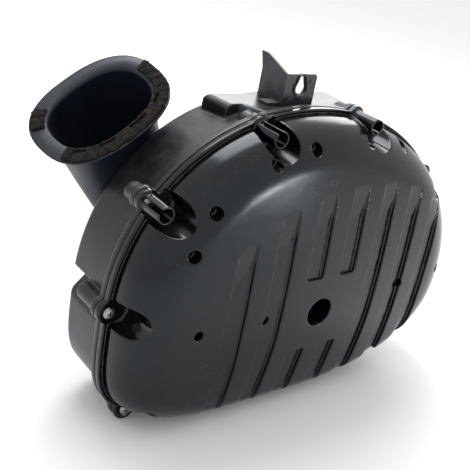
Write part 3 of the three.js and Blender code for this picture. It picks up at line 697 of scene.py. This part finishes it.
def duct_point(long, height, third):
    """A point of the mouth's frame; below the mouth plane the duct bends to face the casing's rear wall."""
    depth = min(max(-height / DUCT_LENGTH, 0), 1)
    base = Vector((DUCT_BASE["x"], DUCT_BASE["y"], DUCT_BASE["z"]))
    centre = MOUTH_PLACE.translation * (1 - depth) ** 2
    centre = centre + Vector(DUCT_ELBOW) * 2 * depth * (1 - depth) + base * depth**2
    turn = MOUTH_PLACE.to_quaternion().slerp(Quaternion(), depth)
    spread = Vector((
        long * (1 + (DUCT_BASE["long"] - 1) * depth),
        max(height, 0) + min(height + DUCT_LENGTH, 0),
        third * (1 + (DUCT_BASE["short"] - 1) * depth),
    ))
    return turn @ spread + centre


def oval(inset, angle):
    """The long and third coordinates of the mouth's oval, some way in from its outer edge."""
    c = signed_power(math.cos(angle), 2 / MOUTH_POWER)
    s = signed_power(math.sin(angle), 2 / MOUTH_POWER)
    return (MOUTH_LONG - inset) * c, -(MOUTH_SHORT - inset) * s


def oval_point(inset, height, angle):
    long, third = oval(inset, angle)
    return duct_point(long, height, third)


def oval_ring(inset, height, angles):
    return [oval_point(inset, height, angle) for angle in angles]


def duct_body(grow):
    """The room that the duct takes up in the casing."""
    angles = circle(96)
    heights = [-DUCT_LENGTH - DUCT_TAIL] + list(np.linspace(-DUCT_LENGTH, -5, 10))
    rings = [oval_ring(NECK_INSET - grow, height, angles) for height in heights]
    rings.append(oval_ring(0, 0, angles))
    return loft("duct_body", rings)


def duct_solid():
    angles = circle(160)
    heights = list(np.linspace(-DUCT_LENGTH, -6, 26))
    outside = [(NECK_INSET, height) for height in heights]
    lip = [(NECK_INSET - 1.2, -4.4), (NECK_INSET - 3, -3.7), (1.2, -3.5), (0.3, -3), (0, -2.2)]
    top = [(0, -0.8), (0.3, -0.2), (0.9, 0)]
    top += [(MOUTH_RIM - 1.6, 0), (MOUTH_RIM - 0.6, -0.4), (MOUTH_RIM, -1.6)]
    inside = [(NECK_INSET + DUCT_WALL, height) for height in heights[::-1]]
    rings = [oval_ring(inset, height, angles) for inset, height in outside + lip + top + inside]
    return loft("duct", rings, closed=True)


def wobble(i, step, row, ragged):
    """A smooth random-looking value along the foam."""
    return noise.noise(Vector((i * step, row, ragged)))


def foam_solid(start, end, thickness, ragged):
    """A length of the mouth's foam ring with rough, torn edges."""
    steps = int(abs(end - start) * 1.6)
    rows = []
    for i in range(steps + 1):
        angle = math.radians(start + (end - start) * i / steps)
        tear = wobble(i, 0.17, 3.1, ragged) * 1.6 + wobble(i, 0.9, 7, ragged) * 0.7
        inner = MOUTH_RIM - 2 + tear * 0.6
        outer = 1.4 + wobble(i, 0.21, 11, ragged) * 1.3
        lift = thickness * (0.85 + 0.3 * wobble(i, 0.3, 5, ragged))
        section = [
            (outer, GAP), (outer - 0.2, lift * 0.6), (outer + 1, lift), ((outer + inner) / 2, lift * 1.05),
            (inner - 1, lift), (inner + 0.2, lift * 0.6), (inner, GAP),
        ]
        rows.append([oval_point(inset, height, angle) for inset, height in section])
    return loft("foam", rows)


def foam_slot(angle):
    """A narrow cut in the foam that follows the mouth's edge."""
    low, high = SLOT["inset"] - SLOT["half"], SLOT["inset"] + SLOT["half"]
    section = [(low, SLOT["floor"]), (low, SLOT["top"]), (high, SLOT["top"]), (high, SLOT["floor"])]
    rows = []
    for a in np.linspace(angle - SLOT["span"], angle + SLOT["span"], 9):
        rows.append([oval_point(inset, height, math.radians(a)) for inset, height in section])
    return loft("slot", rows)


def foam_ring():
    ring = foam_solid(FOAM["from"], FOAM["to"], FOAM["thickness"], 0.4)
    return combine(ring, [("DIFFERENCE", foam_slot(angle)) for angle in FOAM_SLOTS])


def roughened(obj, size, depth):
    """Pushes each point of a foam piece in or out by a small random-looking amount."""
    for vertex in obj.data.vertices:
        away = noise.fractal(vertex.co / size, 0.6, 2.2, 4) * depth
        vertex.co += vertex.normal * away
    return obj


# ---- Screws and fittings ----
def pan_screw(at, seat, end):
    """A pan-head screw along Y with a cross recess; its head sits on y = seat."""
    x, z = at
    dome = []
    for a in np.linspace(0, HEAD["turn"], 8):
        dome.append((HEAD_RADIUS * math.cos(a), seat - HEAD["edge"] - HEAD["crown"] * math.sin(a)))
    profile = [(AXIS_RADIUS, end), (SCREW_RADIUS - 0.6, end), (SCREW_RADIUS, end - 1), (SCREW_RADIUS, seat)]
    profile += [(HEAD_RADIUS - 0.2, seat), (HEAD_RADIUS, seat - 0.2)]
    profile += dome + [(AXIS_RADIUS, seat - HEAD["height"])]
    body = turned("screw", at, profile, 40, closed=False)
    steps = []
    for long, short in CROSS_ARMS:
        rings = []
        for y, share in ((seat - 5, 1), (seat - 1, 0.6)):
            dx, dz = long * share, short * share
            rings.append([(x - dx, y, z - dz), (x + dx, y, z - dz), (x + dx, y, z + dz), (x - dx, y, z + dz)])
        steps.append(("DIFFERENCE", loft("cut", rings)))
    return combine(body, steps)


def upright(obj, x, y, z):
    """Turns a piece built along Y at the origin so that -Y points up, then moves it."""
    obj.data.transform(Matrix.Translation((x, y, z)) @ Matrix.Rotation(-math.pi / 2, 4, "X"))
    return obj


def boot_solid():
    """The rubber boot, with a bead at each end and ribs between."""
    inner = OUTLET["outer"] + GAP
    wall, bead = inner + BOOT["wall"], inner + BOOT["bead"]
    y0, y1 = REAR["y"] + BOOT["start"], OUTLET["end"] + BOOT["end"]
    outer = [(bead, y0), (bead, y0 + 3), (wall, y0 + 4.5), (wall, y0 + 15)]
    for i in range(BOOT["ribs"]):
        y = y0 + BOOT["first_rib"] + i * BOOT["rib_pitch"]
        outer += [(wall, y), (bead, y + 2), (bead, y + 3.6), (wall, y + 5.6)]
    outer += [(wall, y1 - 4.5), (bead, y1 - 3), (bead, y1 - 0.8), (bead - 0.8, y1)]
    bore = [(inner + 0.6, y1), (inner, y1 - 0.8), (inner, y0)]
    return turned("boot", (OUTLET["x"], OUTLET["z"]), outer + bore, 96)


def clamp_solid():
    """A worm-drive clamp: a band, and a housing with its slotted screw on top."""
    x, z = OUTLET["x"], OUTLET["z"]
    inner = OUTLET["outer"] + BOOT["wall"] + 2 * GAP
    y0 = REAR["y"] + CLAMP["start"]
    y1 = y0 + CLAMP["width"]
    band, lip = inner + CLAMP["band"], inner + CLAMP["lip"]
    near = [(inner, y0), (lip, y0), (lip, y0 + 0.8), (band, y0 + 1.2)]
    far = [(band, y1 - 1.2), (lip, y1 - 0.8), (lip, y1), (inner, y1)]
    strap = turned("clamp", (x, z), near + far, 96)
    top = z + inner
    half = CLAMP["half"]
    housing = bevelled(box(x - half, x + half, y0, y1, top + 0.4, top + CLAMP["top"]), 1.4)
    middle, height = (y0 + y1) / 2, top + CLAMP_SCREW["up"]
    start = (x + CLAMP_SCREW["from"], middle, height)
    screw = bar(start, (x + CLAMP_SCREW["to"], middle, height), CLAMP_SCREW["radius"])
    head = bar(start, (x + CLAMP_SCREW["head_end"], middle, height), CLAMP_SCREW["head"], sides=6)
    slot = box(start[0] - 1, start[0] + 1, middle - 0.6, middle + 0.6, top, top + 9)
    return combine(strap, [("UNION", housing), ("UNION", screw), ("UNION", head), ("DIFFERENCE", slot)])


def drain_cap_solid():
    inner = DRAIN["radius"] + GAP
    outer = inner + 2
    profile = [
        (AXIS_RADIUS, 6), (outer - 1.5, 6), (outer, 4.5), (outer, -3), (outer + 0.8, -4), (outer + 0.8, -6),
        (outer, -7), (outer, -11.2), (outer - 0.8, -12), (inner + 0.4, -12), (inner, -11.5), (inner, 0.3),
        (AXIS_RADIUS, 0.3),
    ]
    cap = turned("cap", (0, 0), profile, 48, closed=False)
    return upright(cap, DRAIN["x"], DRAIN["y"], DRAIN["end"])


def grommet_solid(at):
    flange, waist, bore, lip = (GROMMET[k] for k in ("flange", "waist", "bore", "lip"))
    front, back = REAR_EAR_Y, REAR_EAR_Y + REAR_EAR["thickness"]
    profile = [
        (bore, front - lip), (flange - 1, front - lip), (flange, front - lip + 1),
        (flange, front - 0.6), (flange - 0.3, front - GAP), (waist, front - GAP),
        (waist, back + GAP), (flange - 0.3, back + GAP), (flange, back + 0.7),
        (flange, back + lip - 1), (flange - 1, back + lip), (bore, back + lip),
    ]
    return turned("grommet", at, profile)


def collar_solid(at):
    inner, out, chamfer = (COLLAR[k] for k in ("inner", "out", "chamfer"))
    outer = GROMMET["bore"] - GAP
    y0, y1 = REAR_EAR_Y - out, REAR_EAR_Y + REAR_EAR["thickness"] + out
    profile = [
        (inner, y0 + chamfer), (inner + chamfer, y0), (outer - chamfer, y0), (outer, y0 + chamfer),
        (outer, y1 - chamfer), (outer - chamfer, y1), (inner + chamfer, y1), (inner, y1 - chamfer),
    ]
    return turned("collar", at, profile)


def sheet_shape(name, points, place):
    """A flat piece: its outline placed at its two faces."""
    return loft(name, [[place(u, v, face) for u, v in points] for face in (0, TAB["sheet"])])


def bracket_solid():
    """The folded bracket: tab with a rimmed keyhole, fin, foot and the foot's side wing."""
    seat = SHELF["z1"] + GAP
    x0, x1, y, z1, sheet, corner = (TAB[k] for k in ("x0", "x1", "y", "z1", "sheet", "corner"))
    back = BRACKET_FOOT["back"]
    tab_outline = [(x0, seat), (x1, seat), (x1, z1 - corner), (x1 - corner, z1), (x0, z1)]
    tab = sheet_shape("tab", tab_outline, lambda u, v, face: (u, y + face, v))
    fin_outline = [(y, seat), (back, seat), *FIN_TOP, (y, z1)]
    fin = sheet_shape("fin", fin_outline, lambda u, v, face: (x0 + face, u, v))
    base = box(x0, x1, y, back, seat, seat + sheet)
    wing_from, wing_to = y + BRACKET_FOOT["wing_from"], y + BRACKET_FOOT["wing_to"]
    wing = box(x0 - BRACKET_FOOT["wing"], x0 + 1, wing_from, wing_to, seat, seat + sheet)
    rim = keyhole_prism(y - KEYHOLE_RIM["proud"], y + sheet - 0.2, KEYHOLE_RIM["outer"])
    rim = combine(rim, [("DIFFERENCE", keyhole_prism(y - 2, y + sheet, KEYHOLE_RIM["inner"]))])
    steps = [("UNION", fin), ("UNION", base), ("UNION", wing), ("UNION", rim)]
    steps += [("DIFFERENCE", keyhole_prism(y - 3, y + 5, 0))]
    steps += [("DIFFERENCE", bar((sx, sy, 236), (sx, sy, 250), SCREW_HOLE)) for sx, sy in BRACKET_SCREWS]
    return combine(tab, steps)


def keyhole_prism(y0, y1, grow):
    """The tab's keyhole: a wide round bottom narrowing to a neck, grown by some width."""
    wide, neck = KEYHOLE["wide"] + grow, KEYHOLE["neck"] + grow
    shape = []
    for a in np.linspace(math.radians(145), math.radians(395), 22):
        shape.append((wide * math.cos(a), KEYHOLE["wide_z"] + wide * math.sin(a)))
    for a in np.linspace(math.radians(20), math.radians(160), 12):
        shape.append((neck * math.cos(a), KEYHOLE["neck_z"] + neck * math.sin(a)))
    x, z = KEYHOLE["x"], KEYHOLE["z"]
    return loft("keyhole", [[(x + px, y, z + pz) for px, pz in shape] for y in (y0, y1)])


# ---- Materials ----
class Surface:
    """A Principled material built node by node; pattern sizes are millimetres on the object."""

    def __init__(self, name):
        self.material = bpy.data.materials.new(name)
        self.material.use_nodes = True
        self.tree = self.material.node_tree
        self.shader = self.tree.nodes["Principled BSDF"]
        self.place = self.tree.nodes.new("ShaderNodeTexCoord").outputs["Object"]

    def node(self, kind, **values):
        made = self.tree.nodes.new(kind)
        for key, value in values.items():
            setattr(made, key, value)
        return made

    def feed(self, socket, value):
        """Links a socket to another one, or sets it to a plain value."""
        if isinstance(value, bpy.types.NodeSocket):
            self.tree.links.new(value, socket)
        else:
            socket.default_value = value

    def stretch(self, size, turn=(0, 0, 0)):
        move = self.node("ShaderNodeMapping")
        self.feed(move.inputs["Vector"], self.place)
        move.inputs["Scale"].default_value = tuple(1000 / s for s in size)
        move.inputs["Rotation"].default_value = tuple(math.radians(a) for a in turn)
        return move.outputs["Vector"]

    def noise(self, size, detail=3.0, rough=0.55, turn=(0, 0, 0)):
        size = size if isinstance(size, tuple) else (size, size, size)
        made = self.node("ShaderNodeTexNoise")
        self.feed(made.inputs["Vector"], self.stretch(size, turn))
        made.inputs["Scale"].default_value = 1.0
        made.inputs["Detail"].default_value = detail
        made.inputs["Roughness"].default_value = rough
        return made.outputs["Fac"]

    def remap(self, value, low, high, to_low=0.0, to_high=1.0):
        made = self.node("ShaderNodeMapRange")
        self.feed(made.inputs["Value"], value)
        for key, number in zip(("From Min", "From Max", "To Min", "To Max"), (low, high, to_low, to_high)):
            made.inputs[key].default_value = number
        return made.outputs["Result"]

    def maths(self, operation, a, b=0.0):
        made = self.node("ShaderNodeMath", operation=operation)
        self.feed(made.inputs[0], a)
        self.feed(made.inputs[1], b)
        return made.outputs[0]

    def blend(self, factor, a, b):
        made = self.node("ShaderNodeMix", data_type="RGBA")
        self.feed(made.inputs[0], factor)
        self.feed(made.inputs[6], (*a, 1) if isinstance(a, tuple) else a)
        self.feed(made.inputs[7], (*b, 1) if isinstance(b, tuple) else b)
        return made.outputs[2]

    def scratches(self, size, turn, thin=0.006):
        """Fine lines where a stretched noise passes through its middle value, broken up by a second noise."""
        lines = self.noise(size, 1.0, 0.4, turn)
        band = self.maths("ABSOLUTE", self.maths("SUBTRACT", lines, 0.5))
        line = self.remap(band, 0.0, thin, 1.0, 0.0)
        patches = self.remap(self.noise(23, 2), 0.56, 0.66)
        return self.maths("MULTIPLY", line, patches)

    def up(self):
        """How far the surface faces up, 0 to 1."""
        split = self.node("ShaderNodeSeparateXYZ")
        self.feed(split.inputs[0], self.node("ShaderNodeNewGeometry").outputs["Normal"])
        return self.remap(split.outputs["Z"], 0.25, 0.95)

    def finish(self, colour, roughness, bumps, metallic=0.0, specular=0.5, tint=(1, 1, 1)):
        """Connects colour and roughness, and adds bumps, each (height, strength, distance in mm)."""
        self.feed(self.shader.inputs["Base Color"], (*colour, 1) if isinstance(colour, tuple) else colour)
        self.feed(self.shader.inputs["Roughness"], roughness)
        self.shader.inputs["Metallic"].default_value = metallic
        self.shader.inputs["Specular IOR Level"].default_value = specular
        self.shader.inputs["Specular Tint"].default_value = (*tint, 1)
        normal = None
        for height, strength, distance in bumps:
            bump = self.node("ShaderNodeBump")
            self.feed(bump.inputs["Height"], height)
            bump.inputs["Strength"].default_value = strength
            bump.inputs["Distance"].default_value = distance / 1000
            if normal is not None:
                self.tree.links.new(normal, bump.inputs["Normal"])
            normal = bump.outputs["Normal"]
        if normal is not None:
            self.tree.links.new(normal, self.shader.inputs["Normal"])
        return self.material


def plastic(name, dark, light, roughness, dusty):
    """Moulded black plastic: fine grain, handling scratches, and dust on what faces up."""
    s = Surface(name)
    cloud = s.remap(s.noise(70, 4), 0.35, 0.7)
    colour = s.blend(cloud, dark, light)
    long_marks = s.scratches((9, 240, 9), (20, 35, 10))
    marks = s.maths("MAXIMUM", long_marks, s.scratches((200, 7, 7), (0, -50, 15)))
    colour = s.blend(s.maths("MULTIPLY", marks, 0.06), colour, DUST)
    settle = s.maths("MULTIPLY", s.up(), s.remap(s.noise(12, 5, 0.65), 0.4, 0.75, 0.2, 1.0))
    colour = s.blend(s.maths("MULTIPLY", settle, dusty), colour, DUST)
    smear = s.remap(s.noise((60, 60, 22), 5, 0.6), 0.3, 0.75, roughness - 0.07, roughness + 0.1)
    rough = s.maths("ADD", smear, s.maths("MULTIPLY", marks, 0.15))
    rough = s.maths("ADD", rough, s.maths("MULTIPLY", settle, 0.2 * dusty))
    bumps = [(s.noise(0.9, 2), 0.12, 0.15), (s.noise(16, 2), 0.2, 0.5), (marks, 0.12, -0.05)]
    return s.finish(colour, rough, bumps, specular=0.4, tint=(0.85, 0.93, 1.0))


def foam_material():
    """Open-cell foam with pale lint in it."""
    s = Surface("foam")
    colour = s.blend(s.remap(s.noise(4, 5, 0.7), 0.35, 0.7), (0.006, 0.006, 0.006), (0.035, 0.03, 0.026))
    lint = s.remap(s.noise((1, 6, 1), 4, 0.7, (30, 40, 0)), 0.6, 0.75)
    colour = s.blend(s.maths("MULTIPLY", lint, 0.5), colour, (0.16, 0.14, 0.12))
    return s.finish(colour, 0.95, [(s.noise(1.1, 5, 0.7), 1.0, 1.2)], specular=0.2)


def rubber(name, tone):
    """Dull black rubber with a pale bloom in patches."""
    s = Surface(name)
    bloom = s.remap(s.noise(18, 5, 0.6), 0.45, 0.75)
    colour = s.blend(bloom, (tone, tone, tone), (tone * 3.5, tone * 3.4, tone * 3.2))
    rough = s.remap(s.noise(9, 3), 0.3, 0.7, 0.55, 0.8)
    return s.finish(colour, rough, [(s.noise(0.8, 3), 0.25, 0.2)], specular=0.35)


def metal(name, tone, roughness, stain, share):
    """Plated or bare metal with fine drawn lines, tarnish and small pits."""
    s = Surface(name)
    tarnish = s.remap(s.noise(5, 5, 0.65), 0.48, 0.72)
    colour = s.blend(s.maths("MULTIPLY", tarnish, share), tone, stain)
    drawn = s.remap(s.noise((0.3, 6, 6), 2), 0.3, 0.7, roughness - 0.08, roughness + 0.08)
    rough = s.maths("ADD", drawn, s.maths("MULTIPLY", tarnish, 0.25))
    bumps = [(s.noise((0.25, 5, 5), 2), 0.1, 0.05), (tarnish, 0.2, -0.08)]
    return s.finish(colour, rough, bumps, metallic=1.0)


def coated_steel():
    """Black-coated sheet steel, chipped to bare metal and rust in small spots."""
    s = Surface("bracket_coat")
    chips = s.remap(s.noise(3.2, 5, 0.7), 0.68, 0.71)
    cloud = s.remap(s.noise(20, 3), 0.35, 0.7)
    colour = s.blend(cloud, (0.011, 0.013, 0.018), (0.024, 0.027, 0.034))
    colour = s.blend(s.maths("MULTIPLY", chips, 0.7), colour, (0.2, 0.13, 0.08))
    settle = s.maths("MULTIPLY", s.up(), 0.3)
    colour = s.blend(settle, colour, (0.3, 0.3, 0.28))
    rough = s.maths("ADD", s.remap(s.noise(7, 4), 0.3, 0.7, 0.32, 0.5), s.maths("MULTIPLY", chips, 0.3))
    return s.finish(colour, rough, [(chips, 0.5, -0.12), (s.noise(1.4, 3), 0.12, 0.2)])


def paper():
    """Resin-treated filter paper with soot in patches."""
    s = Surface("paper")
    fibre = s.remap(s.noise((0.7, 3, 3), 4, 0.7), 0.3, 0.7)
    colour = s.blend(fibre, (0.5, 0.4, 0.22), (0.66, 0.55, 0.34))
    soot = s.remap(s.noise(14, 4), 0.4, 0.75)
    colour = s.blend(s.maths("MULTIPLY", soot, 0.5), colour, (0.1, 0.085, 0.065))
    return s.finish(colour, 0.95, [(fibre, 0.4, 0.3)], specular=0.15)


def materials():
    """Every finish, by the name of its material slot."""
    finish = {name: plastic(name, **looks) for name, looks in PLASTICS.items()}
    finish.update({name: rubber(name, tone) for name, tone in RUBBERS.items()})
    finish.update({name: metal(name, **looks) for name, looks in METALS.items()})
    finish["foam"] = foam_material()
    finish["bracket_steel"] = coated_steel()
    finish["filter_paper"] = paper()
    return finish


FINISH = materials()


# ---- The object ----
def build_cover():
    body = "cover"
    piece(moulded(cover_solid(), *MOULDING["cover"]), "cover_moulding", "cover", "cover_plastic", body)
    for i, at in enumerate(TOWERS + PLAIN_SCREWS, 1):
        screw = bevelled(pan_screw(at, -COVER_FLANGE - GAP, SCREW_REACH), 0.15)
        piece(screw, f"cover_bolt_{i}", f"cover_screw_{i}", "screw_steel", body, 40)


def build_housing():
    body = "housing"
    piece(moulded(casing_solid(), *MOULDING["casing"]), "casing_moulding", "casing", "casing_plastic", body)
    piece(duct_solid(), "duct_moulding", "intake_duct", "duct_plastic", body, 50)
    seal = roughened(moulded(foam_ring(), *MOULDING["foam"]), 1.8, 0.5)
    piece(seal, "foam_ring", "duct_seal", "foam", body)
    scrap = foam_solid(FOAM_SCRAP["from"], FOAM_SCRAP["to"], FOAM_SCRAP["thickness"], 2.7)
    scrap = roughened(moulded(scrap, *MOULDING["scrap"]), 1.8, 0.8)
    piece(scrap, "foam_scrap", "duct_seal_scrap", "foam", body)


def build_fittings():
    body = "housing"
    piece(bevelled(bracket_solid(), 0.5), "bracket_plate", "top_bracket", "bracket_steel", body, 40)
    piece(bevelled(boot_solid(), 0.6), "boot", "outlet_boot", "boot_rubber", body, 50)
    piece(clamp_solid(), "clamp", "boot_clamp", "clamp_steel", body, 35)
    piece(drain_cap_solid(), "drain_plug", "drain_cap", "boot_rubber", body, 50)
    head_seat = SHELF["z1"] + TAB["sheet"] + 2 * GAP
    for i, (x, y) in enumerate(BRACKET_SCREWS, 1):
        screw = upright(bevelled(pan_screw((0, 0), 0, BRACKET_SCREW_LENGTH), 0.15), x, y, head_seat)
        piece(screw, f"bracket_bolt_{i}", f"bracket_screw_{i}", "screw_steel", body, 40)
    for i, at in enumerate(REAR_EARS, 1):
        piece(grommet_solid(at), f"grommet_{i}", f"mount_grommet_{i}", "boot_rubber", body, 50)
        piece(collar_solid(at), f"collar_{i}", f"mount_collar_{i}", "screw_steel", body, 50)


def paint_cad_nodes():
    for name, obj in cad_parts.items():
        for start, slot in CAD_FINISH.items():
            if name.startswith(start):
                obj.data.materials.clear()
                obj.data.materials.append(FINISH[slot])


# ---- Studio ----
def floor():
    s = Surface("floor")
    tone = s.remap(s.noise(300, 3), 0.3, 0.7, 0.0, 1.0)
    colour = s.blend(tone, (0.86, 0.86, 0.86), (0.88, 0.88, 0.88))
    half = FLOOR_HALF
    corners = [(-half, -half, 0), (half, -half, 0), (half, half, 0), (-half, half, 0)]
    mesh = bpy.data.meshes.new("floor")
    mesh.from_pydata(corners, [], [(0, 1, 2, 3)])
    obj = bpy.data.objects.new("floor", mesh)
    bpy.context.scene.collection.objects.link(obj)
    obj.data.materials.append(s.finish(colour, 0.9, [], specular=0.1))


def area_light(name, at, towards, size, power):
    light = bpy.data.lights.new(name, "AREA")
    light.shape = "RECTANGLE"
    light.size, light.size_y = size
    light.energy = power
    obj = bpy.data.objects.new(name, light)
    bpy.context.scene.collection.objects.link(obj)
    obj.location = at
    obj.rotation_euler = (Vector(towards) - Vector(at)).to_track_quat("-Z", "Y").to_euler()


def studio():
    floor()
    world = bpy.data.worlds.new("studio")
    bpy.context.scene.world = world
    world.use_nodes = True
    background = world.node_tree.nodes["Background"]
    background.inputs["Color"].default_value = (1, 1, 1, 1)
    background.inputs["Strength"].default_value = 1.0
    for light in LIGHTS:
        area_light(**light)
    bpy.context.scene.view_settings.view_transform = "Standard"


def camera():
    data = bpy.data.cameras.new("camera")
    data.sensor_width = 36
    data.lens = 18 / math.tan(math.radians(CAMERA["field"] / 2))
    data.clip_start = 0.01
    obj = bpy.data.objects.new("camera", data)
    bpy.context.scene.collection.objects.link(obj)
    azimuth, down, roll = (math.radians(CAMERA[k]) for k in ("azimuth", "down", "roll"))
    forward = Vector((
        math.sin(azimuth) * math.cos(down),
        math.cos(azimuth) * math.cos(down),
        -math.sin(down),
    ))
    right = Vector((math.cos(azimuth), -math.sin(azimuth), 0))
    up = right.cross(forward)
    image_right = right * math.cos(roll) + up * math.sin(roll)
    image_up = up * math.cos(roll) - right * math.sin(roll)
    turn = Matrix((image_right, image_up, -forward)).transposed().to_4x4()
    obj.matrix_world = Matrix.Translation(TO_FRAME @ Vector(CAMERA["at"])) @ turn
    bpy.context.scene.camera = obj


build_cover()
build_housing()
build_fittings()
paint_cad_nodes()
studio()
camera()
